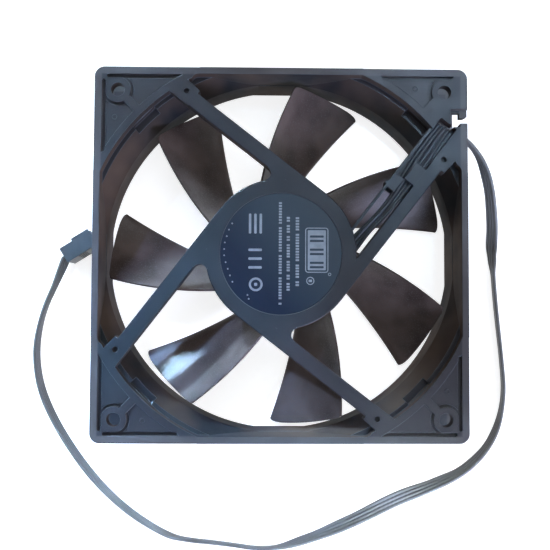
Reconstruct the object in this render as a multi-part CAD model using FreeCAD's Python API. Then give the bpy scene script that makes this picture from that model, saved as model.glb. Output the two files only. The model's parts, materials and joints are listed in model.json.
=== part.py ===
import FreeCAD, Part
import math
import os

# Case fan, 120 x 120 x 25 mm, with a brushless outer-rotor motor and a four-wire lead.
# Millimetres. Origin: centre of the intake face, on the surface that the fan lies on.
# +Z is the way the air leaves, so the struts and the motor base are on top.
# A strut's own frame: x runs outward along the strut, y to its left, seen from +Z.

V = FreeCAD.Vector
UP = V(0, 0, 1)
ORIGIN = V(0, 0, 0)

# ---- frame
side = 120.0
depth = 25.0
corner = 3.2
flange = 4.0
edge_round = 0.4          # rounding of the flanges' outer edges and of the struts
hole_pitch = 105.0
hole_radius = 2.2
throat_radius = 58.3
throat_chamfer = 1.0
throat_top = 12.0
flat_low = 57.8          # half width between the flat sides of the bore, intake half
flat_high = 57.9         # the same, exhaust half
ledge_radius = 62.1
mouth_radius = 63.5
wall = 2.0
ledge_gap_width = 9.5    # break in the ledge at each diagonal
ledge_gap_drop = 2.5
window_round = 2.5       # rounded end of each window's flat side
window_end = 26.7        # where that round is centred, from the middle of the side

# ---- corner pockets of both flanges
rim = 2.4
groove_width = 1.2
groove_depth = 1.3
groove_start = 33.0
groove_end = 55.4
pocket_depth = 0.6
pocket_ring = 65.8       # raised ring round the mouth, outer radius
boss_radius = 4.1
moat_width = 0.9
tail_width = 2.6

# ---- struts and motor base
struts = 4
strut_angle = 52.3
strut_inner = 19.3
strut_outer = 24.2
strut_bottom = 20.0
strut_end = 61.5
foot_start = 52.8
foot_step = 1.1
foot_flare = 0.8          # the foot widens by this much towards the rim
pin_hole_radius = 0.9
pin_hole_depth = 2.0
pin_hole_along = 56.1
pin_hole_across = 22.6
base_radius = 24.2
base_plate_bottom = 22.8
base_skirt_bottom = 19.7
base_skirt_inner = 22.4
base_edge = 0.6
web_radius = 2.3

# ---- wire channel in the first strut
channel_outer = 12.7
channel_inner = 13.6
channel_floor = 21.2
channel_side = 19.9       # inner face of the first strut
channel_start = 18.0     # the outer wall starts at the motor base
channel_floor_start = 37.6
channel_end = 66.5
channel_bump = 39.1
channel_bump_radius = 0.7
tab_thickness = 0.8
tab_free = 16.3          # where the free edges of both tabs nearly meet
tab_wide_from = 43.5
tab_wide_to = 50.0
tab_narrow_from = 38.0
tab_narrow_to = 43.2
tab_lap = 0.3
rim_cut_from = 54.0
drop_from = 64.0          # hole that the wires go down through
drop_near = 13.9
drop_far = 18.9
drop_wires_along = 65.6
drop_wires_across = 14.7

# ---- cable notch in the exhaust flange
slot_left = 54.9
slot_right = 57.6
slot_low = 41.2
slot_high = 46.1
mouth_left = 56.0
mouth_low = 42.4
mouth_high = 44.4
mouth_flare = 1.0
step_left = 54.5
step_high = 47.0
step_depth = 1.5

# ---- label
label_recess = 0.3
label_recess_radius = 19.5
label_radius = 19.3
label_thickness = 0.15

# ---- bearing
shaft_radius = 1.5
shaft_tip = 21.9
shaft_root = 1.7
running_gap = 0.03
tube_inner = 3.9
tube_outer = 5.0
tube_low = 5.6
tube_high = 23.6
boss_outer = 6.5
sleeve_low = 7.5
sleeve_high = 20.0
thrust_low = 22.0
thrust_thickness = 0.6
plug_high = 24.3
groove_low = 20.4
clip_thickness = 0.6
clip_inner = 1.2
clip_outer = 2.9

# ---- rotor
blades = 7
hub_radius = 23.0
hub_low = 1.2
hub_high = 17.8
hub_wall = 1.7
hub_face = 1.8
hub_round = 2.5
rotor_boss = 4.8
tip_radius = 56.1
blade_low = 2.2
blade_high = 19.0
blade_edge = 0.35        # height of the edges' centres inside that room
blade_root = 22.0
blade_first = 30.0       # angle of the first blade
lead_start = -0.8        # the leading edge, as seen along the axis
lead_lean = 0.478
lead_curve = 0.0047
trail_start = 9.9        # the trailing edge
trail_lean = 0.0294
trail_curve = 0.0046
blade_thickness = 2.3
blade_taper = 0.018
blade_camber = 0.085
tip_round_low = 2.6
tip_round_high = 1.8
yoke_wall = 1.0
magnet_wall = 1.7
skirt_step = 0.5

# ---- stator
poles = 4
core_low = 8.2
core_high = 14.2
core_ring = 7.5
neck_width = 5.0
shoe_outer = 18.1
shoe_inner = 16.6
shoe_half_angle = 38.0
insulator_thickness = 1.0
coil_start = 8.6
coil_end = 15.2
coil_width = 11.0
coil_low = 5.4
coil_high = 17.0

# ---- electronics
board_low = 18.8
board_thickness = 1.2
board_radius = 21.6
pin_radius = 0.32
pin_circle = 10.6
driver_size = (5.0, 3.9, 1.5)        # length, width, height
driver_place = (15.5, 160.0)         # distance from the axis, and angle
driver_legs = 4
hall_size = (4.0, 2.6, 1.1)
hall_place = (18.6, 45.0)
capacitor_size = (3.2, 1.6, 1.5)
capacitor_place = (16.5, 215.0)
diode_size = (4.4, 2.6, 2.1)
diode_place = (15.5, 100.0)
resistor_size = (2.0, 1.2, 0.6)
resistor_places = [(17.0, 250.0), (17.0, 265.0), (12.0, 200.0)]

# ---- lead
wire_radius = 0.575
wire_pitch = 1.17
wires = 4
cord_radius = wire_radius * math.sqrt(wires)     # same area as the four wires together
exit_point = V(57.3, 40.9, 18.5)

# ---- plug
plug_pitch = 2.54
plug_thickness = 5.4
plug_length = 11.8
plug_rib = 1.4
plug_rib_start = 4.5
plug_cavity = 1.9
plug_back = V(-72.6, 0.1, 0)     # middle of the end that the wires enter, on the surface
plug_angle = 32.0


# ---------------------------------------------------------------- plain shapes
def disc(radius, low, high, x=0.0, y=0.0):
    return Part.makeCylinder(radius, high - low, V(x, y, low))


def ring(outer, inner, low, high):
    return disc(outer, low, high).cut(disc(inner, low - 1, high + 1))


def block(x0, x1, y0, y1, z0, z1):
    return Part.makeBox(x1 - x0, y1 - y0, z1 - z0, V(x0, y0, z0))


def turned(profile):
    """Solid of revolution about Z from (radius, height) points."""
    wire = Part.makePolygon([V(r, 0, z) for r, z in profile + profile[:1]])
    return Part.Face(wire).revolve(ORIGIN, UP, 360)


def about_z(shape, degrees):
    copy = shape.copy()
    copy.rotate(ORIGIN, UP, degrees)
    return copy


def four_ways(shape):
    return [about_z(shape, 90 * k) for k in range(4)]


def prism(points, low, high):
    """Vertical prism over a list of (x, y) points."""
    wire = Part.makePolygon([V(x, y, low) for x, y in points + points[:1]])
    return Part.Face(wire).extrude(V(0, 0, high - low))


def square_plate(low, high, round_height=None):
    """Square with rounded corners; the edge at round_height is rounded too."""
    plate = block(-side / 2, side / 2, -side / 2, side / 2, low, high)
    upright = [e for e in plate.Edges if abs(e.tangentAt(e.FirstParameter).z) > 0.9]
    plate = plate.makeFillet(corner, upright)
    if round_height is None:
        return plate
    return plate.makeFillet(edge_round, edges_at(plate, round_height))


def edges_at(shape, height):
    """Edges that lie wholly at one height."""
    return [e for e in shape.Edges
            if abs(e.BoundBox.ZMin - height) < 1e-6 and abs(e.BoundBox.ZMax - height) < 1e-6]


def along_strut(shape, number):
    return about_z(shape, strut_angle + 90 * number)


def strut_point(along, across, z):
    """Point in the first strut's frame; across is measured to its right."""
    return FreeCAD.Rotation(UP, strut_angle).multVec(V(along, -across, z))


def node(shape, name):
    """Write one node, as one solid where the shape is a single one."""
    shape = shape.removeSplitter() if len(shape.Solids) == 1 else shape
    if len(shape.Solids) == 1:
        shape = shape.Solids[0]
    shape.exportStep(os.path.join("parts", name + ".step"))
    print("%-24s solids %d  volume %.1f  valid %s" % (name, len(shape.Solids), shape.Volume, shape.isValid()))


# ---------------------------------------------------------------- tubes along a route
def bend_radius(before, corner_point, after):
    """Largest radius that leaves a tenth of the shorter run straight."""
    a = corner_point.sub(before)
    b = after.sub(corner_point)
    turn = a.getAngle(b)
    return 0.45 * min(a.Length, b.Length) / math.tan(turn / 2), turn


def route_wire(points, smallest=None):
    """Straight runs joined by tangent arcs, one arc at each inner point."""
    edges = []
    start = points[0]
    for before, here, after in zip(points, points[1:], points[2:]):
        radius, turn = bend_radius(before, here, after)
        if smallest is not None:
            smallest.append(radius)
        cut = radius * math.tan(turn / 2)
        into = here.sub(before).normalize()
        out = after.sub(here).normalize()
        first = here.sub(into * cut)
        last = here.add(out * cut)
        inward = out.sub(into).normalize()
        middle = here.add(inward * (radius / math.cos(turn / 2) - radius))
        edges.append(Part.LineSegment(start, first).toShape())
        edges.append(Part.Arc(first, middle, last).toShape())
        start = last
    edges.append(Part.LineSegment(start, points[-1]).toShape())
    return Part.Wire(edges)


def tube_along(points, radius, radii=None):
    path = route_wire(points, radii)
    section = Part.Wire(Part.Circle(points[0], points[1].sub(points[0]), radius).toShape())
    return path.makePipeShell([section], True, False), path.Length


# ---------------------------------------------------------------- frame
def barrel():
    """Round duct: straight on the intake half, opening like a cone on the exhaust half."""
    outer = throat_radius + wall
    mouth = mouth_radius + wall
    top = depth - flange
    skin = turned([(0, 0), (outer, 0), (outer, throat_top), (mouth, top), (mouth, depth), (0, depth)])
    return skin.common(square_plate(0, depth))


def bore():
    """The air passage that is cut out of the frame."""
    top = depth - flange
    wide = throat_radius + throat_chamfer
    low = turned([(0, -1), (wide, -1), (wide, 0), (throat_radius, throat_chamfer),
                  (throat_radius, throat_top), (0, throat_top)])
    high = turned([(0, throat_top), (throat_radius, throat_top), (ledge_radius, top),
                   (mouth_radius, top), (mouth_radius, depth + 1), (0, depth + 1)])
    low = low.common(block(-flat_low, flat_low, -flat_low, flat_low, -1, depth))
    high = high.common(block(-flat_high, flat_high, -flat_high, flat_high, 0, depth + 1))
    gap = block(throat_radius, mouth_radius - 0.2, -ledge_gap_width / 2, ledge_gap_width / 2,
                top - ledge_gap_drop, top)
    gaps = [about_z(gap, 45 + 90 * k) for k in range(4)]
    end_low = flat_high - window_round
    window = disc(window_round, top, depth + 1, -window_end, end_low)
    window = window.fuse(block(-window_end, 0, end_low - window_round, flat_high, top, depth + 1))
    return low.fuse([high] + gaps + four_ways(window))


def corner_pocket():
    """Cut for the top face's first-quadrant corner, between the rims and the mouth's ring."""
    half = side / 2
    pitch = hole_pitch / 2
    floor = depth - pocket_depth
    area = block(0, half - rim, 0, half - rim, floor, depth + 1)
    area = area.cut(disc(pocket_ring, 0, depth + 1))
    area = area.cut(disc(boss_radius, 0, depth + 1, pitch, pitch))
    tail = block(pocket_ring - 1, half * math.sqrt(2), -tail_width / 2, tail_width / 2, 0, depth + 1)
    area = area.cut(about_z(tail, 45))
    deep = depth - groove_depth
    moat = disc(boss_radius + moat_width, deep, depth + 1, pitch, pitch)
    moat = moat.cut(disc(boss_radius, 0, depth + 1, pitch, pitch)).cut(about_z(tail, 45))
    moat = moat.common(block(0, half - rim, 0, half - rim, 0, depth + 1))
    lane = half - rim - groove_width / 2
    groove = block(lane - groove_width / 2, lane + groove_width / 2, groove_start, groove_end,
                   deep, depth + 1)
    groove = groove.fuse([disc(groove_width / 2, deep, depth + 1, lane, groove_start),
                          disc(groove_width / 2, deep, depth + 1, lane, groove_end)])
    mirrored = groove.mirror(ORIGIN, V(1, -1, 0))
    return area.fuse([moat, groove, mirrored])


def corner_pockets():
    """Pockets of three exhaust corners, half of the fourth, and all four intake corners."""
    pocket = corner_pocket()
    half = side / 2
    cable_side = prism([(0, 0), (half, 0), (half, half), (half - 2, half)], 0, depth + 2)
    cuts = [about_z(pocket, 90 * k) for k in (1, 2, 3)]
    cuts.append(pocket.cut(cable_side))
    under = pocket.mirror(V(0, 0, depth / 2), UP)
    return cuts + four_ways(under)


def strut(number):
    inner = strut_inner if number else channel_side
    bar = block(0, strut_end, -strut_outer, -inner, strut_bottom, depth)
    long_edges = [e for e in edges_at(bar, depth) if abs(e.tangentAt(e.FirstParameter).x) > 0.9]
    bar = bar.makeFillet(edge_round, long_edges)
    foot = prism([(foot_start, -inner), (foot_start, -strut_outer - foot_step),
                  (strut_end, -strut_outer - foot_step - foot_flare), (strut_end, -inner)],
                 strut_bottom, depth)
    return along_strut(bar.fuse(foot).common(disc(pocket_ring, 0, depth)), number)


def strut_web(number):
    """Rounded inner corner between a strut and the motor base."""
    away = base_radius + web_radius
    across = strut_inner - web_radius
    along = math.sqrt(away ** 2 - across ** 2)
    touch = base_radius / away
    meet = math.sqrt(base_radius ** 2 - strut_inner ** 2)
    points = [(meet - 1, -strut_inner - 1), (meet - 1, -across * touch), (along * touch, -across * touch),
              (along, -across), (along, -strut_inner - 1)]
    web = prism(points, strut_bottom, depth)
    return along_strut(web.cut(disc(web_radius, 0, depth + 1, along, -across)), number)


def motor_base():
    """Plate, skirt round the board, and the boss that holds the bearing tube."""
    plate = disc(base_radius, base_plate_bottom, depth)
    plate = plate.makeFillet(base_edge, edges_at(plate, depth))
    skirt = ring(base_radius, base_skirt_inner, base_skirt_bottom, base_plate_bottom)
    boss = disc(boss_outer, board_low + board_thickness, base_plate_bottom)
    return plate.fuse([skirt, boss])


def channel():
    """Floor and outer wall of the wire channel beside the first strut."""
    floor = block(channel_floor_start, strut_end, -channel_side, -channel_inner, strut_bottom, channel_floor)
    side_wall = block(channel_start, strut_end, -channel_inner, -channel_outer, strut_bottom, depth)
    bump = disc(channel_bump_radius, strut_bottom, depth, channel_bump, -channel_outer)
    walls = floor.fuse([side_wall, bump])
    walls = walls.common(disc(pocket_ring, 0, depth)).cut(disc(base_radius - 0.5, 0, depth))
    return along_strut(walls, 0)


def wire_tabs():
    """Two tabs that hold the wires down in the channel."""
    low = depth - tab_thickness
    wide = block(tab_wide_from, tab_wide_to, -channel_side - tab_lap, -tab_free, low, depth)
    narrow = block(tab_narrow_from, tab_narrow_to, -tab_free, -channel_inner + tab_lap, low, depth)
    return along_strut(wide.fuse(narrow), 0)


def wire_cuts():
    """Room for the wires: through the base's skirt, over the rim and down the cable notch."""
    board_top = board_low + board_thickness
    skirt_gap = block(base_skirt_inner / 2, base_radius, -channel_side + 0.5, -channel_inner,
                      board_top, base_plate_bottom)
    over_rim = block(rim_cut_from, channel_end, -channel_side, -channel_inner, channel_floor, depth + 1)
    drop = block(drop_from, channel_end, -drop_far, -drop_near, 0, depth + 1)
    drop = drop.fuse(disc((drop_far - drop_near) / 2, 0, depth + 1, drop_from, -(drop_near + drop_far) / 2))
    cuts = [along_strut(c, 0) for c in (skirt_gap, over_rim, drop)]
    low = depth - flange - 1
    edge = side / 2 + 1
    slot = block(slot_left, slot_right, slot_low, slot_high, low, depth + 1)
    mouth = prism([(mouth_left, mouth_low), (edge, mouth_low), (edge, mouth_high + mouth_flare),
                   (edge - 2 * mouth_flare, mouth_high), (mouth_left, mouth_high)], low, depth + 1)
    step = block(step_left, edge, mouth_low, step_high, depth - step_depth, depth + 1)
    return cuts + [slot, mouth, step]


def label_cuts():
    recess = disc(label_recess_radius, depth - label_recess, depth + 1)
    tube_seat = disc(tube_outer, 0, tube_high)
    plug_seat = disc(tube_inner, 0, depth)
    return [recess, tube_seat, plug_seat]


def fan_frame():
    half = hole_pitch / 2
    body = square_plate(0, flange, 0).fuse([square_plate(depth - flange, depth, depth), barrel()])
    body = body.cut(bore())
    body = body.cut(corner_pockets())
    struts_all = [strut(k) for k in range(struts)]
    webs = [strut_web(k) for k in range(1, struts)]
    body = body.fuse(struts_all + webs + [motor_base(), channel()])
    holes = [disc(hole_radius, -1, depth + 1, x, y) for x in (-half, half) for y in (-half, half)]
    pin_hole = disc(pin_hole_radius, depth - pin_hole_depth, depth + 1, pin_hole_along, -pin_hole_across)
    pin_holes = [along_strut(pin_hole, k) for k in range(struts)]
    body = body.cut(holes + pin_holes + wire_cuts() + label_cuts())
    return body.fuse(wire_tabs())


# ---------------------------------------------------------------- bearing
def bearing_parts():
    node(ring(tube_outer, tube_inner, tube_low, tube_high), "bearing_tube")
    node(ring(tube_inner, shaft_radius + running_gap, sleeve_low, sleeve_high), "sleeve_bearing")
    node(ring(tube_inner, shaft_radius + 0.3, tube_low + 0.3, tube_low + 1.1), "oil_seal")
    node(disc(tube_inner, thrust_low, thrust_low + thrust_thickness), "thrust_pad")
    node(disc(tube_inner, thrust_low + thrust_thickness, plug_high), "bearing_plug")
    label = disc(label_radius, depth - label_recess, depth - label_recess + label_thickness)
    node(label, "hub_label")


def rotor_shaft():
    shaft = disc(shaft_radius, shaft_root, shaft_tip)
    shaft = shaft.makeFillet(0.4, edges_at(shaft, shaft_tip))
    return shaft.cut(ring(shaft_radius + 1, clip_inner, groove_low, groove_low + clip_thickness))


def retaining_clip():
    clip = ring(clip_outer, clip_inner, groove_low, groove_low + clip_thickness)
    return clip.cut(block(0, clip_outer + 1, -0.4, 0.4, 0, depth))


# ---------------------------------------------------------------- impeller
def leading_edge(x):
    """Tangential place and height of a blade's leading edge at distance x along the blade."""
    out = x - blade_root
    return lead_start - lead_lean * out - lead_curve * out ** 2, blade_low + blade_edge


def trailing_edge(x):
    out = x - blade_root
    return trail_start - trail_lean * out - trail_curve * out ** 2, blade_high - blade_edge


def blade_section(x):
    """Closed outline of the blade in the plane at x: a cambered, tapering aerofoil."""
    y0, z0 = leading_edge(x)
    y1, z1 = trailing_edge(x)
    chord = math.hypot(y1 - y0, z1 - z0)
    run = V(0, (y1 - y0) / chord, (z1 - z0) / chord)
    out = V(0, -run.z, run.y)
    start = V(x, y0, z0)
    thickest = blade_thickness - blade_taper * (x - blade_root)
    camber = blade_camber * chord
    stations = (1.0, 0.85, 0.65, 0.45, 0.27, 0.12, 0.03)

    def at(t, half_side):
        body = 2.0 * (0.95 * math.sqrt(t) - 0.62 * t - 0.15 * t ** 4)
        half = half_side * 0.5 * thickest * body
        line = -camber * 4 * t * (1 - t)
        return start + run * (chord * t) + out * (line + half)

    upper = [at(t, 1) for t in stations]
    lower = [at(t, -1) for t in reversed(stations)]
    curve = Part.BSplineCurve()
    curve.interpolate(upper + [at(0.0, 0)] + lower)
    closing = Part.LineSegment(lower[-1], upper[0])
    return Part.Wire([curve.toShape(), closing.toShape()])


def blade():
    sections = [blade_section(x) for x in (18.0, 26.0, 34.0, 42.0, 50.0, 60.0)]
    return Part.makeLoft(sections, True, False)


def blade_envelope():
    """Ring-shaped room of the blades, with rounded tip corners."""
    room = ring(tip_radius, hub_radius - hub_wall / 2, blade_low, blade_high)
    for height, radius in ((blade_low, tip_round_low), (blade_high, tip_round_high)):
        tip = [e for e in room.Edges if e.Curve.TypeId == "Part::GeomCircle"
               and abs(e.Curve.Radius - tip_radius) < 0.01 and abs(e.Curve.Center.z - height) < 0.01]
        room = room.makeFillet(radius, tip)
    return room


def hub():
    """Cup that closes the motor on the intake side, with the boss round the shaft."""
    cup = disc(hub_radius, hub_low, hub_high)
    cup = cup.makeFillet(hub_round, edges_at(cup, hub_low))
    inside = disc(hub_radius - hub_wall, hub_low + hub_face, hub_high + 1)
    cup = cup.cut(inside.cut(disc(rotor_boss, 0, tube_low - 0.6)))
    cup = cup.cut(ring(14.0, 12.6, hub_low - 1, hub_low + 0.5))
    return cup.cut(disc(shaft_radius, shaft_root, depth))


def impeller():
    one = blade().common(blade_envelope())
    wings = [about_z(one, blade_first + 360.0 / blades * k) for k in range(blades)]
    return hub().fuse(wings)


def rotor_parts():
    inner = hub_radius - hub_wall
    low = hub_low + hub_face
    skirt_top = hub_high - skirt_step
    yoke = disc(inner, low, skirt_top).cut(disc(inner - yoke_wall, low + yoke_wall, depth))
    yoke = yoke.cut(disc(rotor_boss, 0, depth))
    node(impeller(), "impeller")
    node(yoke, "rotor_yoke")
    magnet_outer = inner - yoke_wall
    node(ring(magnet_outer, magnet_outer - magnet_wall, low + 1.6, skirt_top - 0.4), "magnet_ring")
    node(rotor_shaft(), "rotor_shaft")
    node(retaining_clip(), "retaining_clip")


# ---------------------------------------------------------------- stator
def sector(outer, inner, half_angle, low, high):
    """Ring segment centred on +X."""
    segment = ring(outer, inner, low, high)
    reach = outer * 3
    edge = math.radians(half_angle)
    wedge = prism([(0, 0), (reach * math.cos(edge), -reach * math.sin(edge)),
                   (reach * math.cos(edge), reach * math.sin(edge))], low - 1, high + 1)
    return segment.common(wedge)


def pole_star(low, high, ring_outer, neck, shoe_in):
    """Ring on the bearing tube with four necks and their curved shoes."""
    star = ring(ring_outer, tube_outer, low, high)
    arm = block(tube_outer + 1, shoe_outer - 1, -neck / 2, neck / 2, low, high)
    shoe = sector(shoe_outer, shoe_in, shoe_half_angle, low, high)
    arms = [about_z(arm.fuse(shoe), 360.0 / poles * k) for k in range(poles)]
    return star.fuse(arms)


def insulator(low, high):
    return pole_star(low, high, core_ring + 1.0, neck_width + 1.2, shoe_inner)


def coil():
    half = coil_width / 2
    outer = block(coil_start, coil_end, -half, half, coil_low, coil_high)
    long_edges = [e for e in outer.Edges if abs(e.tangentAt(e.FirstParameter).x) > 0.9]
    outer = outer.makeFillet(2.4, long_edges)
    core_half = neck_width / 2 + 0.7
    return outer.cut(block(0, shoe_outer, -core_half, core_half,
                           core_low - insulator_thickness, core_high + insulator_thickness))


def stator_parts():
    node(pole_star(core_low, core_high, core_ring, neck_width, shoe_inner), "stator_core")
    node(insulator(core_low - insulator_thickness, core_low), "lower_insulator")
    top = core_high + insulator_thickness
    pegs = [disc(1.3, core_high, top + 1.5, *polar(pin_circle, 45 + 90 * k)) for k in range(poles)]
    arm = block(core_ring, pin_circle, -1.2, 1.2, core_high, top)
    arms = [about_z(arm, 45 + 90 * k) for k in range(poles)]
    upper = insulator(core_high, top).fuse(pegs + arms).cut(pins(core_high, depth))
    node(upper, "upper_insulator")
    for k in range(poles):
        node(about_z(coil(), 360.0 / poles * k), "coil_winding_%d" % (k + 1))
    node(pins(core_high + 0.4, board_low + board_thickness + 0.7), "terminal_pins")


def polar(radius, degrees):
    angle = math.radians(degrees)
    return radius * math.cos(angle), radius * math.sin(angle)


def pins(low, high):
    places = [polar(pin_circle, 45 + 90 * k) for k in range(poles)]
    return Part.makeCompound([disc(pin_radius, low, high, x, y) for x, y in places])


# ---------------------------------------------------------------- electronics
def on_board(shape, place):
    """Turn a shape to face the axis and move it to a (distance, angle) place."""
    distance, degrees = place
    shape.rotate(ORIGIN, UP, degrees + 90)
    shape.translate(V(*polar(distance, degrees), 0))
    return shape


def chip(size, place, low):
    length, width, height = size
    return on_board(block(-length / 2, length / 2, -width / 2, width / 2, low, low + height), place)


def driver(high):
    """Package on two rows of small legs."""
    length, width, _ = driver_size
    step = length / driver_legs
    package = chip(driver_size, driver_place, high + 0.1)
    legs = []
    for k in range(driver_legs):
        middle = step * (k + 0.5) - length / 2
        leg = block(middle - 0.2, middle + 0.2, -width / 2 - 1, width / 2 + 1, high, high + 0.25)
        legs.append(on_board(leg, driver_place))
    return package.fuse(legs)


def electronics():
    high = board_low + board_thickness
    board = disc(board_radius, board_low, high).cut(disc(tube_outer, 0, depth))
    node(board.cut(pins(0, depth)), "circuit_board")
    node(driver(high), "driver_chip")
    node(chip(hall_size, hall_place, board_low - hall_size[2]), "hall_sensor")
    node(chip(capacitor_size, capacitor_place, high), "filter_capacitor")
    node(chip(diode_size, diode_place, high), "protection_diode")
    node(Part.makeCompound([chip(resistor_size, place, high) for place in resistor_places]), "chip_resistors")


# ---------------------------------------------------------------- leads
# Each wire's way along the first strut: (along, across to the right, height). They leave the board
# side by side, lie two on two against the strut, and spread again in the channel over the rim.
lead_lanes = [
    [(9.0, 14.6, 20.6), (16.5, 14.7, 20.9), (23.5, 15.6, 21.7), (31.0, 16.6, 21.9), (38.5, 16.3, 21.95),
     (47.0, 15.0, 21.95), (55.0, 14.5, 22.0), (61.0, 14.4, 22.1)],
    [(9.0, 15.8, 20.6), (16.5, 15.85, 21.5), (23.5, 16.2, 22.95), (31.0, 17.2, 23.1), (38.5, 17.2, 23.0),
     (47.0, 16.3, 22.4), (55.0, 15.8, 22.2), (61.0, 15.6, 22.2)],
    [(9.0, 17.0, 20.6), (16.5, 17.0, 20.9), (23.5, 17.25, 21.75), (31.0, 18.3, 21.9), (38.5, 18.3, 21.95),
     (47.0, 17.65, 22.1), (55.0, 17.3, 22.7), (61.0, 16.65, 23.0)],
    [(9.0, 18.2, 20.6), (16.5, 18.2, 21.5), (23.5, 17.9, 23.05), (31.0, 19.0, 23.2), (38.5, 19.0, 23.2),
     (47.0, 19.1, 22.6), (55.0, 18.9, 22.1), (61.0, 18.3, 22.2)],
]


def lead_route(number):
    """From the board, along the channel, down the hole and out under the flange."""
    lane = [strut_point(*place) for place in lead_lanes[number]]
    first_run = cord_route[1].sub(exit_point).normalize()
    last = exit_point + V(0, 0, wire_pitch * (number - 1.5)) - first_run * 0.35
    drop = strut_point(drop_wires_along, drop_wires_across + wire_pitch * number, 0)
    return lane + [V(drop.x, drop.y, lane[-1].z), V(drop.x, drop.y, last.z), last]


def lead_wires():
    for k in range(wires):
        tube, length = tube_along(lead_route(k), wire_radius)
        node(tube, "lead_wire_%d" % (k + 1))
        print("   lead length %.1f" % length)


cord_route = [
    exit_point,
    V(64.2, 37.1, 17.4),
    V(70.4, 25.8, 12.0),
    V(73.4, 12.0, 5.2),
    V(73.8, 2.5, 1.9),
    V(74.4, -8.0, 1.25),
    V(75.3, -19.5, 1.25),
    V(76.9, -33.0, 1.25),
    V(78.0, -48.0, 1.25),
    V(73.9, -62.3, 1.25),
    V(64.6, -72.3, 1.25),
    V(53.3, -77.6, 1.25),
    V(40.8, -82.2, 1.25),
    V(24.3, -90.3, 1.25),
    V(9.8, -95.8, 1.25),
    V(-3.3, -99.5, 1.25),
    V(-19.0, -97.1, 1.25),
    V(-35.8, -95.7, 1.25),
    V(-53.2, -85.0, 1.25),
    V(-67.1, -70.8, 1.25),
    V(-80.2, -49.8, 1.25),
    V(-83.8, -33.5, 1.25),
    V(-81.4, -19.0, 1.6),
    V(-76.4, -8.6, 3.2),
    V(-73.0, -0.6, 5.0),
]


def cord():
    radii = []
    tube, length = tube_along(cord_route, cord_radius, radii)
    node(tube, "ribbon_cord")
    print("   cord length %.1f  volume over section times length %.4f"
          % (length, tube.Volume / (math.pi * cord_radius ** 2 * length)))
    print("   cord radii", " ".join("%.1f" % r for r in radii))
    runs = [b.sub(a).Length for a, b in zip(cord_route, cord_route[1:])]
    print("   cord runs", " ".join("%.1f" % r for r in runs))


# ---------------------------------------------------------------- plug
def place_plug(shape):
    """From the plug's own frame (x along it, from the wires to the mouth) to where it lies."""
    copy = shape.copy()
    copy.rotate(ORIGIN, UP, plug_angle)
    copy.translate(plug_back)
    return copy


def plug_height(number):
    return plug_pitch * (number + 0.5)


def connector_housing():
    half = plug_thickness / 2
    height = plug_pitch * wires
    shell = block(0, plug_length, -half, half, 0, height)
    upright = [e for e in shell.Edges if abs(e.tangentAt(e.FirstParameter).z) > 0.9]
    shell = shell.makeFillet(0.4, upright)
    ribs = [block(plug_rib_start, plug_length - 0.8, half - 0.5, half + plug_rib, z, z + 1.3)
            for z in (0.5 * plug_pitch, 2.5 * plug_pitch - 0.3)]
    bridge = block(plug_rib_start, plug_rib_start + 2.2, half - 0.5, half + plug_rib, ribs[0].BoundBox.ZMin,
                   ribs[1].BoundBox.ZMax)
    shell = shell.fuse(ribs + [bridge])
    c = plug_cavity / 2
    for k in range(wires):
        z = plug_height(k)
        shell = shell.cut(block(-1, plug_length + 1, -c, c, z - c, z + c))
        shell = shell.cut(block(4.0, 7.0, -half - 1, 0, z - 0.6, z + 0.6))
    return place_plug(shell)


def connector_terminal(number):
    """Folded socket with a crimp barrel at the wire end."""
    z = plug_height(number)
    half = plug_cavity / 2 - 0.1
    socket = block(3.4, plug_length - 0.5, -half, half, z - half, z + half)
    inside = half - 0.25
    socket = socket.cut(block(4.0, plug_length + 1, -inside, inside, z - inside, z + inside))
    crimp = Part.makeCylinder(half, 2.8, V(0.8, 0, z), V(1, 0, 0))
    return place_plug(socket.fuse(crimp))


# ---------------------------------------------------------------- build
os.makedirs("parts", exist_ok=True)
node(fan_frame(), "fan_frame")
bearing_parts()
rotor_parts()
stator_parts()
electronics()
lead_wires()
cord()
node(connector_housing(), "connector_housing")
for k in range(wires):
    node(connector_terminal(k), "connector_terminal_%d" % (k + 1))
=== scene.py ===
"""Looks of the case fan: materials, printed label, ribbon lead, mould marks, light and camera.

Everything is in metres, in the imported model's frame: the fan lies on z = 0 with its exhaust side up.
"""
import json
import math

import bmesh
import bpy
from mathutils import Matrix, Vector


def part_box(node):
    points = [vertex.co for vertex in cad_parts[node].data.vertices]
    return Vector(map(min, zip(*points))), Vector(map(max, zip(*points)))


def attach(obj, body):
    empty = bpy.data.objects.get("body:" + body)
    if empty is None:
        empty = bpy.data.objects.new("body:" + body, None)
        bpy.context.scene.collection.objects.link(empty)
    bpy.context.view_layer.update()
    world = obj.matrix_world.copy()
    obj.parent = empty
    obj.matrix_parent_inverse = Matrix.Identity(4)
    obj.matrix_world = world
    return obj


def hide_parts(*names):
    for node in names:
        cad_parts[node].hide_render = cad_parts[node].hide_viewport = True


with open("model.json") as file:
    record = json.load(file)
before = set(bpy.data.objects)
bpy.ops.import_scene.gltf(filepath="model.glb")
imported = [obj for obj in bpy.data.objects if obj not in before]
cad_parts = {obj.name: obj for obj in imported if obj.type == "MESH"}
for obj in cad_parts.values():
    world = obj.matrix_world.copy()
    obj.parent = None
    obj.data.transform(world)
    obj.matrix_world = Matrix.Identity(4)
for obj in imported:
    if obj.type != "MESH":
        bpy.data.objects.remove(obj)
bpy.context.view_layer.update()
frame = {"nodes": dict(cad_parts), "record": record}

MM = 0.001
UP = Vector((0, 0, 1))


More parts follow.
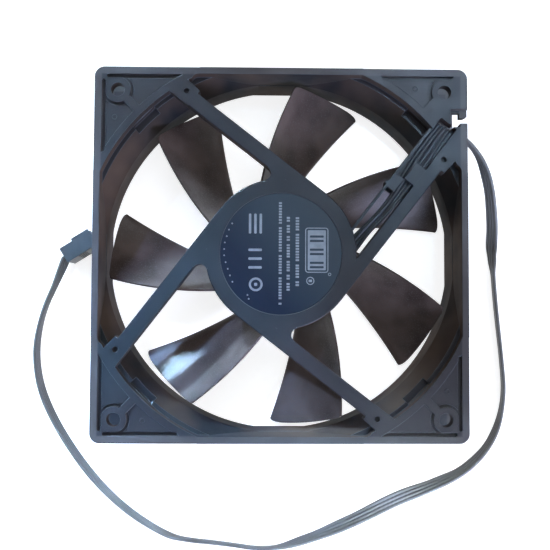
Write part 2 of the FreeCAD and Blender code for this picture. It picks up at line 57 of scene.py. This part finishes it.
# ---------------------------------------------------------------- materials
class Look:
    """A Principled material, with short calls for the nodes that the looks below share."""

    def __init__(self, name, color, roughness, metallic=0.0, specular=0.5):
        self.material = bpy.data.materials.new(name)
        self.material.use_nodes = True
        self.nodes = self.material.node_tree.nodes
        self.links = self.material.node_tree.links
        self.shader = self.nodes["Principled BSDF"]
        self.color = color
        self.shader.inputs["Base Color"].default_value = (*color, 1)
        self.shader.inputs["Roughness"].default_value = roughness
        self.shader.inputs["Metallic"].default_value = metallic
        self.shader.inputs["Specular IOR Level"].default_value = specular
        self.place = self.nodes.new("ShaderNodeTexCoord").outputs["Object"]
        self.normal = None

    def coat(self, weight, roughness):
        """A clear layer on top."""
        self.shader.inputs["Coat Weight"].default_value = weight
        self.shader.inputs["Coat Roughness"].default_value = roughness
        return self

    def noise(self, size, detail=3.0, stretch=(1, 1, 1)):
        """Noise whose lumps are about size metres across."""
        mapping = self.nodes.new("ShaderNodeMapping")
        mapping.inputs["Scale"].default_value = stretch
        self.links.new(self.place, mapping.inputs["Vector"])
        texture = self.nodes.new("ShaderNodeTexNoise")
        texture.inputs["Scale"].default_value = 1 / size
        texture.inputs["Detail"].default_value = detail
        self.links.new(mapping.outputs["Vector"], texture.inputs["Vector"])
        return texture.outputs["Fac"]

    def spread(self, value, low, high, start=0.3, end=0.7):
        """Map a 0 to 1 value onto low to high, with more contrast between start and end."""
        node = self.nodes.new("ShaderNodeMapRange")
        node.inputs["From Min"].default_value = start
        node.inputs["From Max"].default_value = end
        node.inputs["To Min"].default_value = low
        node.inputs["To Max"].default_value = high
        self.links.new(value, node.inputs["Value"])
        return node.outputs["Result"]

    def mixed(self, factor, first, second):
        """Colour between two colours or sockets, by a 0 to 1 factor."""
        node = self.nodes.new("ShaderNodeMix")
        node.data_type = "RGBA"
        self.links.new(factor, node.inputs["Factor"])
        for socket, color in ((node.inputs["A"], first), (node.inputs["B"], second)):
            if isinstance(color, tuple):
                socket.default_value = (*color, 1)
            else:
                self.links.new(color, socket)
        return node.outputs["Result"]

    def paint(self, color):
        self.links.new(color, self.shader.inputs["Base Color"])
        return self

    def vary(self, amount, size, detail=2.0):
        """Let the colour drift by a fraction, lighter and darker, over patches of a size."""
        lighter = tuple(c * (1 + amount) for c in self.color)
        darker = tuple(c * (1 - amount) for c in self.color)
        return self.paint(self.mixed(self.spread(self.noise(size, detail), 0, 1), darker, lighter))

    def gloss(self, low, high, size, detail=3.0):
        """Roughness between low and high in patches of a size."""
        self.links.new(self.spread(self.noise(size, detail), low, high), self.shader.inputs["Roughness"])
        return self

    def soften(self, radius):
        """Rounded shading along sharp edges."""
        node = self.nodes.new("ShaderNodeBevel")
        node.samples = 8
        node.inputs["Radius"].default_value = radius
        self.normal = node.outputs["Normal"]
        self.links.new(self.normal, self.shader.inputs["Normal"])
        return self

    def math(self, operation, *values):
        """One Math node over sockets or numbers."""
        node = self.nodes.new("ShaderNodeMath")
        node.operation = operation
        for socket, value in zip(node.inputs, values):
            if isinstance(value, (int, float)):
                socket.default_value = value
            else:
                self.links.new(value, socket)
        return node.outputs["Value"]

    def axes(self):
        """X, Y and Z of the place on the object."""
        node = self.nodes.new("ShaderNodeSeparateXYZ")
        self.links.new(self.place, node.inputs["Vector"])
        return node.outputs["X"], node.outputs["Y"], node.outputs["Z"]

    def upright(self):
        """1 on faces that stand upright and 0 on level ones."""
        node = self.nodes.new("ShaderNodeSeparateXYZ")
        self.links.new(self.nodes.new("ShaderNodeNewGeometry").outputs["True Normal"], node.inputs["Vector"])
        return self.spread(self.math("ABSOLUTE", node.outputs["Z"]), 1, 0, 0.5, 0.8)

    def edges(self, radius, low=0.004, high=0.05):
        """1 along sharp edges, where the rounded normal leaves the plain one, and 0 elsewhere."""
        node = self.nodes.new("ShaderNodeBevel")
        node.samples = 8
        node.inputs["Radius"].default_value = radius
        plain = self.nodes.new("ShaderNodeNewGeometry").outputs["Normal"]
        dot = self.nodes.new("ShaderNodeVectorMath")
        dot.operation = "DOT_PRODUCT"
        self.links.new(node.outputs["Normal"], dot.inputs[0])
        self.links.new(plain, dot.inputs[1])
        return self.spread(self.math("SUBTRACT", 1.0, dot.outputs["Value"]), 0, 1, low, high)

    def layers(self, scale, distortion=0.0):
        """Level bands, one above the other; a greater scale makes finer ones."""
        node = self.nodes.new("ShaderNodeTexWave")
        node.bands_direction = "Z"
        node.inputs["Scale"].default_value = scale
        node.inputs["Distortion"].default_value = distortion
        self.links.new(self.place, node.inputs["Vector"])
        return node.outputs["Fac"]

    def bump(self, height, depth):
        """Raise the surface by up to depth metres, on top of the bumps given before."""
        node = self.nodes.new("ShaderNodeBump")
        node.inputs["Distance"].default_value = depth
        node.inputs["Strength"].default_value = 1.0
        self.links.new(height, node.inputs["Height"])
        if self.normal is not None:
            self.links.new(self.normal, node.inputs["Normal"])
        self.normal = node.outputs["Normal"]
        self.links.new(self.normal, self.shader.inputs["Normal"])
        return self


RIM_START = 57.4 * MM
RIM_END = 57.9 * MM


def frame_plastic():
    """Dark blue-grey moulding, with painted light: lighter, browner rims as a painted sheen, upright walls in
    painted warm light and painted shade, and painted highlights along edges.
    """
    look = Look("frame_plastic", (0.011, 0.017, 0.026), 0.44, specular=0.32)
    x, y, _ = look.axes()
    from_middle = look.math("MAXIMUM", look.math("ABSOLUTE", x), look.math("ABSOLUTE", y))
    # Outer rims: a painted sheen makes this band lighter and browner.
    rim_sheen_mask = look.spread(from_middle, 0, 1, RIM_START, RIM_END)
    upright = look.upright()
    drift = look.spread(look.noise(0.018, 2.0), 0, 1)
    wide = look.spread(look.noise(0.070, 1.0), 0, 1, 0.40, 0.60)
    bluish = look.mixed(drift, (0.006, 0.011, 0.016), (0.012, 0.019, 0.026))
    brownish = look.mixed(drift, (0.012, 0.011, 0.014), (0.021, 0.019, 0.023))
    flat = look.mixed(wide, bluish, brownish)
    rim_sheen = look.mixed(drift, (0.038, 0.035, 0.038), (0.060, 0.056, 0.057))
    # Upright walls: brown patches of painted warm light and dark patches of painted shade.
    painted_wall_patches = look.spread(look.noise(0.030, 3.0, (1, 1, 0.5)), 0, 1, 0.38, 0.62)
    painted_wall_light = look.mixed(painted_wall_patches, (0.003, 0.004, 0.007), (0.058, 0.036, 0.025))
    body = look.mixed(upright, look.mixed(rim_sheen_mask, flat, rim_sheen), painted_wall_light)
    # Lighter along sharp edges: painted highlights.
    look.paint(look.mixed(look.edges(0.00022), body, (0.060, 0.070, 0.080)))
    rough = look.math("ADD", look.spread(look.noise(0.006), 0.40, 0.52), look.math("MULTIPLY", upright, 0.40))
    look.links.new(rough, look.shader.inputs["Roughness"])
    look.soften(0.0003)
    look.bump(look.noise(0.00035), 0.000006).bump(look.noise(0.007, 2.0), 0.00005)
    return look.material


def rotor_plastic():
    """Dusty brown-black moulding with a fine pale speckle."""
    look = Look("rotor_plastic", (0.045, 0.036, 0.034), 0.40, specular=0.5)
    speckle = look.spread(look.noise(0.00040, 2.0), 0, 1, 0.54, 0.74)
    cloud = look.mixed(look.spread(look.noise(0.013, 2.0), 0, 1, 0.36, 0.64),
                       (0.030, 0.018, 0.015), (0.092, 0.065, 0.057))
    look.paint(look.mixed(speckle, cloud, (0.080, 0.072, 0.071)))
    look.gloss(0.30, 0.48, 0.0012).soften(0.0002)
    look.bump(look.noise(0.0005, 2.0), 0.000035)
    return look.material


def label_film():
    """Navy film, with a painted sheen that lightens it towards +X +Y."""
    look = Look("label", (0.010, 0.019, 0.042), 0.34, specular=0.22).coat(0.08, 0.2)
    x, y, _ = look.axes()
    slope = look.math("ADD", x, look.math("MULTIPLY", y, 0.8))
    painted_sheen = look.spread(slope, 0, 1, -14 * MM, 10 * MM)
    look.paint(look.mixed(painted_sheen, (0.001, 0.006, 0.016), (0.015, 0.025, 0.035)))
    look.gloss(0.30, 0.42, 0.004)
    look.bump(look.noise(0.010, 1.0), 0.00008).bump(look.noise(0.0003), 0.000003)
    return look.material


def label_ink():
    """Pale grey print."""
    look = Look("label_ink", (0.165, 0.183, 0.200), 0.5, specular=0.25)
    return look.vary(0.15, 0.002).material


def wire_insulation():
    """Grey PVC, with a slow drift in colour and gloss along the wires."""
    look = Look("wire_insulation", (0.026, 0.033, 0.042), 0.40, specular=0.5)
    return look.vary(0.22, 0.009).gloss(0.34, 0.46, 0.006).material


def ribbon_insulation():
    """The same PVC, lighter and greyer along the free lead, as a painted sheen."""
    look = Look("ribbon_insulation", (0.118, 0.119, 0.114), 0.38, specular=0.6)
    return look.vary(0.28, 0.012).gloss(0.32, 0.46, 0.006).material


def plug_plastic():
    """Dark grey-blue plug."""
    look = Look("plug_plastic", (0.050, 0.062, 0.076), 0.38)
    look.vary(0.15, 0.004).gloss(0.32, 0.46, 0.002).soften(0.0002)
    look.bump(look.noise(0.0004), 0.00001)
    return look.material


def metal(name, color, roughness, grain, stretch=(1, 1, 1), depth=0.000004):
    """Bare metal, with a grain that stretch can draw out into turning marks."""
    look = Look(name, color, roughness, metallic=1.0)
    look.vary(0.12, grain * 8).gloss(roughness * 0.8, roughness * 1.25, grain * 3)
    look.bump(look.noise(grain, 3.0, stretch), depth)
    return look.material


def moulded(name, color, roughness, grain=0.0004):
    """Plain plastic, rubber or ceramic."""
    look = Look(name, color, roughness)
    look.vary(0.12, grain * 15).gloss(roughness * 0.85, roughness * 1.15, grain * 6)
    look.soften(0.00015).bump(look.noise(grain), 0.000008)
    return look.material


def copper_windings():
    """Enamelled wire laid in rings round each pole: fine bands across the coil's height."""
    look = Look("copper", (0.55, 0.22, 0.08), 0.28, metallic=1.0).coat(0.5, 0.15)
    turns = look.layers(900, 1.5)
    look.paint(look.mixed(turns, (0.30, 0.10, 0.035), (0.72, 0.33, 0.13)))
    return look.bump(turns, 0.00008).material


def circuit_board():
    """Green board with slightly raised tracks."""
    look = Look("board", (0.015, 0.10, 0.045), 0.30)
    tracks = look.spread(look.noise(0.0025, 0.0, (1, 1, 0.1)), 0, 1, 0.50, 0.53)
    look.paint(look.mixed(tracks, (0.012, 0.085, 0.038), (0.035, 0.16, 0.075)))
    return look.bump(tracks, 0.00002).material


def laminations():
    """Stamped sheets: fine lines across the stack."""
    look = Look("lamination_steel", (0.30, 0.31, 0.33), 0.40, metallic=1.0)
    look.gloss(0.32, 0.50, 0.001)
    return look.bump(look.layers(320), 0.00006).material


LOOKS = {
    "frame_plastic": frame_plastic(),
    "rotor_plastic": rotor_plastic(),
    "label": label_film(),
    "wire_insulation": wire_insulation(),
    "plug_plastic": plug_plastic(),
    "contact_metal": metal("contact_metal", (0.72, 0.70, 0.64), 0.25, 0.0003),
    "shaft_steel": metal("shaft_steel", (0.60, 0.60, 0.61), 0.22, 0.0002, (1, 1, 12)),
    "yoke_steel": metal("yoke_steel", (0.46, 0.46, 0.45), 0.42, 0.0005),
    "lamination_steel": laminations(),
    "bearing_brass": metal("bearing_brass", (0.70, 0.48, 0.20), 0.30, 0.0002, (1, 1, 12)),
    "sintered_bronze": metal("sintered_bronze", (0.45, 0.27, 0.13), 0.50, 0.00025, depth=0.00003),
    "magnet": moulded("magnet", (0.045, 0.042, 0.042), 0.62, 0.0003),
    "insulator": moulded("insulator", (0.74, 0.69, 0.56), 0.42),
    "copper": copper_windings(),
    "board": circuit_board(),
    "chip": moulded("chip", (0.020, 0.020, 0.022), 0.50, 0.0002),
    "ceramic": moulded("ceramic", (0.48, 0.36, 0.24), 0.40, 0.0002),
    "seal_nylon": moulded("seal_nylon", (0.80, 0.78, 0.72), 0.38),
    "plug_rubber": moulded("plug_rubber", (0.025, 0.025, 0.026), 0.60),
}
INK = label_ink()
RIBBON = ribbon_insulation()


def dress_cad_nodes():
    for part in frame["record"]["subparts"]:
        piece = frame["nodes"][part["node"]]
        for slot in piece.material_slots:
            slot.material = LOOKS[part["material_slot"]]


# ---------------------------------------------------------------- mesh helpers
def finished(name, mesh, material, body, smooth=True):
    """Object from a bmesh, with its material, body and material slot."""
    data = bpy.data.meshes.new(name)
    bmesh.ops.recalc_face_normals(mesh, faces=mesh.faces)
    mesh.to_mesh(data)
    mesh.free()
    data.materials.append(material)
    for face in data.polygons:
        face.use_smooth = smooth
    piece = bpy.data.objects.new(name, data)
    bpy.context.scene.collection.objects.link(piece)
    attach(piece, body)
    return piece


def loft(mesh, rings, closed_ends=True):
    """Skin between rings of points that all have the same number of points."""
    rows = [[mesh.verts.new(p) for p in ring] for ring in rings]
    count = len(rows[0])
    for low, high in zip(rows, rows[1:]):
        for k in range(count):
            mesh.faces.new((low[k], low[(k + 1) % count], high[(k + 1) % count], high[k]))
    if closed_ends:
        mesh.faces.new(rows[0])
        mesh.faces.new(list(reversed(rows[-1])))
    return rows


def circle(middle, axes, radius, sides):
    """Points round a circle in the plane of two unit vectors."""
    turns = [2 * math.pi * k / sides for k in range(sides)]
    return [middle + axes[0] * radius * math.cos(a) + axes[1] * radius * math.sin(a) for a in turns]


def eased(t):
    """0 to 1 with a slow start and end."""
    return t * t * (3 - 2 * t)


# ---------------------------------------------------------------- ribbon lead
WIRE_RADIUS = 0.575 * MM
WIRE_PITCH = 1.17 * MM
WIRES = 4
CAVITY_PITCH = 2.54 * MM
PLUG_TURN = math.radians(32)
PLUG_AXIS = Vector((math.cos(PLUG_TURN), math.sin(PLUG_TURN), 0))
FLOOR_GAP = 0.02 * MM

# Bonded section: each wire's arc starts and ends at the valley between two wires.
VALLEY_ANGLE = 32
ARC_POINTS = 8

# Parted wires, from inside the bonded ribbon into the plug.
SPLIT_LENGTH = 13 * MM
SPLIT_OVERLAP = 2 * MM
INTO_PLUG = 1.6 * MM
PARTED_RADIUS = 0.98 * WIRE_RADIUS
PARTED_SIDES = 14

# Route in millimetres, and the ribbon's lean there: 0 lies flat, 90 stands on its edge.
CORD_ROUTE = [
    ((57.3, 40.9, 18.5), 101),
    ((64.2, 37.1, 17.4), 96),
    ((70.4, 25.8, 12.2), 68),
    ((73.4, 12.0, 5.4), 58),
    ((73.8, 5.0, 2.4), 54),
    ((74.0, 0.5, 2.1), 74),
    ((74.3, -5.5, 2.3), 97),
    ((75.1, -17.0, 2.35), 98),
    ((76.8, -33.0, 2.35), 99),
    ((77.9, -48.0, 2.35), 97),
    ((73.9, -62.3, 2.3), 82),
    ((64.6, -72.3, 2.1), 68),
    ((53.3, -77.6, 1.6), 48),
    ((40.8, -82.2, 0.9), 14),
    ((24.3, -90.3, 1.4), 40),
    ((9.8, -95.8, 2.0), 70),
    ((-3.3, -99.5, 2.3), 100),
    ((-19.0, -97.1, 2.35), 100),
    ((-32.0, -95.9, 2.35), 98),
    ((-39.0, -93.9, 2.35), 88),
    ((-53.2, -85.0, 2.3), 83),
    ((-67.1, -70.8, 2.2), 77),
    ((-80.2, -49.8, 2.2), 79),
    ((-83.7, -33.5, 2.3), 83),
    ((-81.3, -19.0, 2.4), 91),
    ((-76.3, -8.6, 3.6), 88),
    ((-72.6, 0.1, 5.1), 90),
]


def route_line(name, points, resolution):
    """Points along the smooth NURBS line that a route's points control."""
    data = bpy.data.curves.new(name, "CURVE")
    data.dimensions = "3D"
    data.resolution_u = resolution
    spline = data.splines.new("NURBS")
    spline.points.add(len(points) - 1)
    for point, place in zip(spline.points, points):
        point.co = (*(c * MM for c in place), 1)
    spline.order_u = 3
    spline.use_endpoint_u = True
    guide = bpy.data.objects.new(name, data)
    bpy.context.scene.collection.objects.link(guide)
    mesh = bpy.data.meshes.new_from_object(guide)
    line = [v.co.copy() for v in mesh.vertices]
    bpy.data.objects.remove(guide)
    bpy.data.meshes.remove(mesh)
    return line


def between(values, place):
    """Value at a fractional place in a list, easing from one entry to the next."""
    place = min(max(place, 0), len(values) - 1.001)
    k = int(place)
    return values[k] + (values[k + 1] - values[k]) * eased(place - k)


def directions(line):
    """Unit tangent at each point of a line."""
    ahead = line[1:] + line[-1:]
    behind = line[:1] + line[:-1]
    return [(b - a).normalized() for a, b in zip(behind, ahead)]


def ribbon_outline():
    """Section of four wires bonded side by side, as (across, through) pairs."""
    outline = []
    for half in (0, 180):
        wires = range(WIRES - 1, -1, -1) if half == 0 else range(WIRES)
        for k in wires:
            middle = (k - (WIRES - 1) / 2) * WIRE_PITCH
            first = k == (WIRES - 1 if half == 0 else 0)
            last = k == (0 if half == 0 else WIRES - 1)
            start = half + (0 if first else VALLEY_ANGLE)
            end = half + (165 if last else 180 - VALLEY_ANGLE)
            for step in range(ARC_POINTS):
                angle = math.radians(start + (end - start) * step / (ARC_POINTS - 1))
                outline.append((middle + WIRE_RADIUS * math.cos(angle), WIRE_RADIUS * math.sin(angle)))
    return outline


def ribbon_lead():
    """The flat lead, with its wires parted where they enter the plug."""
    leans = [math.radians(lean) for _, lean in CORD_ROUTE]
    line = route_line("ribbon_route", [place for place, _ in CORD_ROUTE], 24)
    spans = len(CORD_ROUTE) - 2
    axes = []
    for k, (point, ahead) in enumerate(zip(line, directions(line))):
        lean = between(leans, spans * k / (len(line) - 1) + 0.5)
        level = UP.cross(ahead).normalized()
        above = ahead.cross(level)
        across = level * math.cos(lean) + above * math.sin(lean)
        through = above * math.cos(lean) - level * math.sin(lean)
        reach = abs(across.z) * WIRE_PITCH * (WIRES - 1) / 2 + WIRE_RADIUS
        point.z = max(point.z, reach + FLOOR_GAP)
        axes.append((across, through))
    left = [0.0]
    for a, b in zip(reversed(line[:-1]), reversed(line[1:])):
        left.append(left[-1] + (b - a).length)
    left.reverse()
    mesh = bmesh.new()
    outline = ribbon_outline()
    bonded = [k for k in range(len(line)) if left[k] > SPLIT_LENGTH]
    loft(mesh, [[line[k] + axes[k][0] * a + axes[k][1] * b for a, b in outline] for k in bonded])
    parted = [k for k in range(len(line)) if left[k] <= SPLIT_LENGTH + SPLIT_OVERLAP]
    for wire in range(WIRES):
        place = wire - (WIRES - 1) / 2
        rings = []
        for k in parted:
            pitch = WIRE_PITCH + (CAVITY_PITCH - WIRE_PITCH) * eased(1 - min(left[k] / SPLIT_LENGTH, 1))
            middle = line[k] + axes[k][0] * pitch * place
            rings.append(circle(middle, axes[k], PARTED_RADIUS, PARTED_SIDES))
        into = line[-1] + UP * CAVITY_PITCH * place + PLUG_AXIS * INTO_PLUG
        rings.append(circle(into, (UP, UP.cross(PLUG_AXIS)), PARTED_RADIUS, PARTED_SIDES))
        loft(mesh, rings)
    return finished("ribbon_lead", mesh, RIBBON, "housing"), line


# ---------------------------------------------------------------- label print
LABEL_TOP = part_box("hub_label")[1].z
INK_HEIGHT = 0.03 * MM

# Small dots in an arc beside the label's edge.
DOTS = [(-15.6, 9.6), (-16.6, 7.6), (-17.3, 5.5), (-17.9, 3.5), (-18.1, 1.4), (-18.1, -0.6), (-17.6, -2.8),
        (-16.9, -4.9), (-16.2, -7.0), (-15.4, -9.0), (-10.6, -13.2), (-10.2, -14.4)]


def rounded(x0, x1, y0, y1, corner=0.0):
    """Outline of a rectangle with rounded corners."""
    outline = []
    for cx, cy, start in ((x1 - corner, y1 - corner, 0), (x0 + corner, y1 - corner, 90),
                          (x0 + corner, y0 + corner, 180), (x1 - corner, y0 + corner, 270)):
        steps = 5 if corner else 1
        for step in range(steps):
            angle = math.radians(start + (90 * step / (steps - 1) if corner else 0))
            outline.append((cx + corner * math.cos(angle), cy + corner * math.sin(angle)))
    return outline


def plate(mesh, x0, x1, y0, y1, corner=0.0, low=LABEL_TOP, height=INK_HEIGHT):
    """Thin flat plate with rounded corners; places in millimetres."""
    outline = rounded(x0, x1, y0, y1, corner)
    loft(mesh, [[Vector((x * MM, y * MM, z)) for x, y in outline] for z in (low, low + height)])


def band(mesh, outer, inner, low, height):
    """Flat closed band between two outlines of (x, y) in millimetres with as many points each."""
    rings = []
    for outside, inside in zip(outer, inner):
        section = ((inside, low), (outside, low), (outside, low + height), (inside, low + height))
        rings.append([Vector((x * MM, y * MM, z)) for (x, y), z in section])
    rows = loft(mesh, rings, closed_ends=False)
    for k in range(4):
        mesh.faces.new((rows[-1][k], rows[-1][(k + 1) % 4], rows[0][(k + 1) % 4], rows[0][k]))


def hoop(mesh, x, y, outer, inner, low=LABEL_TOP, height=INK_HEIGHT, sides=32):
    """Flat ring; places in millimetres."""
    turns = [2 * math.pi * k / sides for k in range(sides)]
    edges = [[(x + r * math.cos(a), y + r * math.sin(a)) for a in turns] for r in (outer, inner)]
    band(mesh, *edges, low, height)


def print_line(mesh, x, y_start, y_end, thickness, words):
    """Small plain bars in word-like groups that stand for a line of print, down the label."""
    stroke, gap, space = 0.62, 0.28, 1.1
    y = y_start
    k = 0
    while y - stroke > y_end:
        for _ in range(words[k % len(words)]):
            if y - stroke < y_end:
                break
            plate(mesh, x - thickness / 2, x + thickness / 2, y - stroke, y)
            y -= stroke + gap
        y -= space - gap
        k += 1


def label_print():
    """Plain panels, bars, dots and rings where the label is printed."""
    mesh = bmesh.new()
    band(mesh, rounded(7.7, 15.1, -6.0, 8.4, 0.9), rounded(8.0, 14.8, -5.7, 8.1, 0.6), LABEL_TOP, INK_HEIGHT)
    plate(mesh, 8.5, 14.3, -5.2, 7.6, 0.3)
    print_line(mesh, 5.2, 11.7, -11.0, 1.1, (5, 10))
    print_line(mesh, 2.3, 11.8, -11.9, 1.0, (2, 3, 2, 5, 4))
    print_line(mesh, -0.25, 16.5, -16.3, 0.95, (8, 9, 7))
    for x in (-9.9, -8.2, -6.5):
        plate(mesh, x - 0.4, x + 0.4, 6.4, 12.8, 0.3)
    for y in (1.2, -1.6, -4.4):
        plate(mesh, -10.4, -6.1, y - 0.4, y + 0.4, 0.3)
    hoop(mesh, -8.0, -9.8, 2.2, 1.5)
    plate(mesh, -8.5, -7.5, -10.3, -9.3, 0.3)
    hoop(mesh, 9.35, -8.6, 1.3, 1.0)
    plate(mesh, 8.8, 9.9, -9.0, -8.2, 0.1)
    hoop(mesh, 15.5, -6.5, 0.5, 0.3)
    for x, y in DOTS:
        hoop(mesh, x, y, 0.26, 0.08, sides=10)
    return finished("label_print", mesh, INK, "housing", smooth=False)


def label_panel_bars():
    """Dark plain bars on the light panel of the print."""
    mesh = bmesh.new()
    top = LABEL_TOP + INK_HEIGHT
    for k in range(3):
        y = 6.1 - 4.2 * k
        plate(mesh, 9.2, 13.6, y - 0.9, y - 0.2, 0.2, low=top, height=INK_HEIGHT / 2)
        plate(mesh, 9.2, 13.6, y - 2.3, y - 1.6, 0.2, low=top, height=INK_HEIGHT / 2)
    return finished("label_panel_bars", mesh, LOOKS["label"], "housing", smooth=False)


# ---------------------------------------------------------------- mould marks
POCKET_DEPTH = 0.6 * MM
MARK_HEIGHT = 0.12 * MM


def mould_marks():
    """Small raised rings on the corner pockets' floors."""
    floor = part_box("fan_frame")[1].z - POCKET_DEPTH
    mesh = bmesh.new()
    for x, y in ((-53.5, 43.7), (43.0, 53.5), (-43.4, -52.9), (53.0, -43.5)):
        hoop(mesh, x, y, 0.9, 0.6, floor, MARK_HEIGHT, 20)
    return finished("mould_marks", mesh, LOOKS["frame_plastic"], "housing")


# ---------------------------------------------------------------- stage
def pale_floor():
    """Matt white floor, with a glow that keeps it even."""
    bpy.ops.mesh.primitive_plane_add(size=4, location=(0, 0, 0))
    floor = bpy.context.object
    floor.name = "floor"
    material = bpy.data.materials.new("floor")
    material.use_nodes = True
    shader = material.node_tree.nodes["Principled BSDF"]
    shader.inputs["Base Color"].default_value = (0.60, 0.60, 0.60, 1)
    shader.inputs["Roughness"].default_value = 0.9
    shader.inputs["Specular IOR Level"].default_value = 0.1
    shader.inputs["Emission Color"].default_value = (1, 1, 1, 1)
    shader.inputs["Emission Strength"].default_value = 0.80
    floor.data.materials.append(material)


def panel(name, place, aim, width, height, power, color, spread=180):
    """Area light; a small spread, in degrees, keeps it to a narrow beam."""
    light = bpy.data.lights.new(name, "AREA")
    light.spread = math.radians(spread)
    light.shape = "RECTANGLE"
    light.size = width
    light.size_y = height
    light.energy = power
    light.color = color
    holder = bpy.data.objects.new(name, light)
    holder.location = place
    holder.visible_camera = False
    holder.rotation_euler = (Vector(aim) - Vector(place)).to_track_quat("-Z", "Y").to_euler()
    bpy.context.scene.collection.objects.link(holder)


def room():
    """Even surroundings: warm at the horizon, cool overhead."""
    world = bpy.data.worlds.new("room")
    bpy.context.scene.world = world
    world.use_nodes = True
    nodes = world.node_tree.nodes
    links = world.node_tree.links
    place = nodes.new("ShaderNodeTexCoord")
    split = nodes.new("ShaderNodeSeparateXYZ")
    ramp = nodes.new("ShaderNodeValToRGB")
    ramp.color_ramp.elements[0].color = (0.22, 0.175, 0.15, 1)
    ramp.color_ramp.elements[1].color = (0.21, 0.255, 0.31, 1)
    links.new(place.outputs["Generated"], split.inputs["Vector"])
    links.new(split.outputs["Z"], ramp.inputs["Fac"])
    links.new(ramp.outputs["Color"], nodes["Background"].inputs["Color"])
    nodes["Background"].inputs["Strength"].default_value = 1.0


def lights():
    """Soft light from above and from -Y, and narrow beams on one blade, the lead and a corner."""
    panel("overhead", (0.25, 0.35, 0.80), (0, 0, 0), 0.9, 0.9, 3.8, (0.97, 0.99, 1.0))
    panel("side", (-0.199, 0.255, 0.166), (-0.038, -0.040, 0.012), 0.12, 0.11, 0.14, (0.46, 0.72, 1.0), 8)
    panel("glint", (0.08, -0.32, 0.75), (0.045, -0.098, 0.0), 0.05, 0.05, 0.028, (0.70, 0.86, 1.0), 8)
    panel("high", (-0.186, 0.134, 0.255), (-0.034, -0.046, 0.012), 0.08, 0.08, 0.034, (0.36, 0.58, 1.0), 8)
    panel("corner", (0.14, 0.17, 0.60), (0.048, 0.046, 0.02), 0.05, 0.05, 0.008, (0.45, 0.70, 1.0), 10)
    panel("fill", (0.36, -0.58, 0.34), (0, 0, 0.01), 0.30, 0.30, 9, (0.60, 0.68, 1.0))


def camera():
    """Looks almost straight down, leaning a little towards +X and +Y."""
    data = bpy.data.cameras.new("camera")
    data.sensor_width = 36
    data.lens = 52.36
    data.clip_start = 0.01
    holder = bpy.data.objects.new("camera", data)
    holder.location = (-0.0063, -0.0193, 0.2788)
    holder.rotation_euler = [math.radians(angle) for angle in (2.815, -1.0085, 0.258)]
    bpy.context.scene.collection.objects.link(holder)
    bpy.context.scene.camera = holder


# ---------------------------------------------------------------- build
dress_cad_nodes()
lead, lead_line = ribbon_lead()
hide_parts("ribbon_cord")
label_print()
label_panel_bars()
mould_marks()
pale_floor()
room()
lights()
camera()
bpy.context.scene.view_settings.view_transform = "Standard"
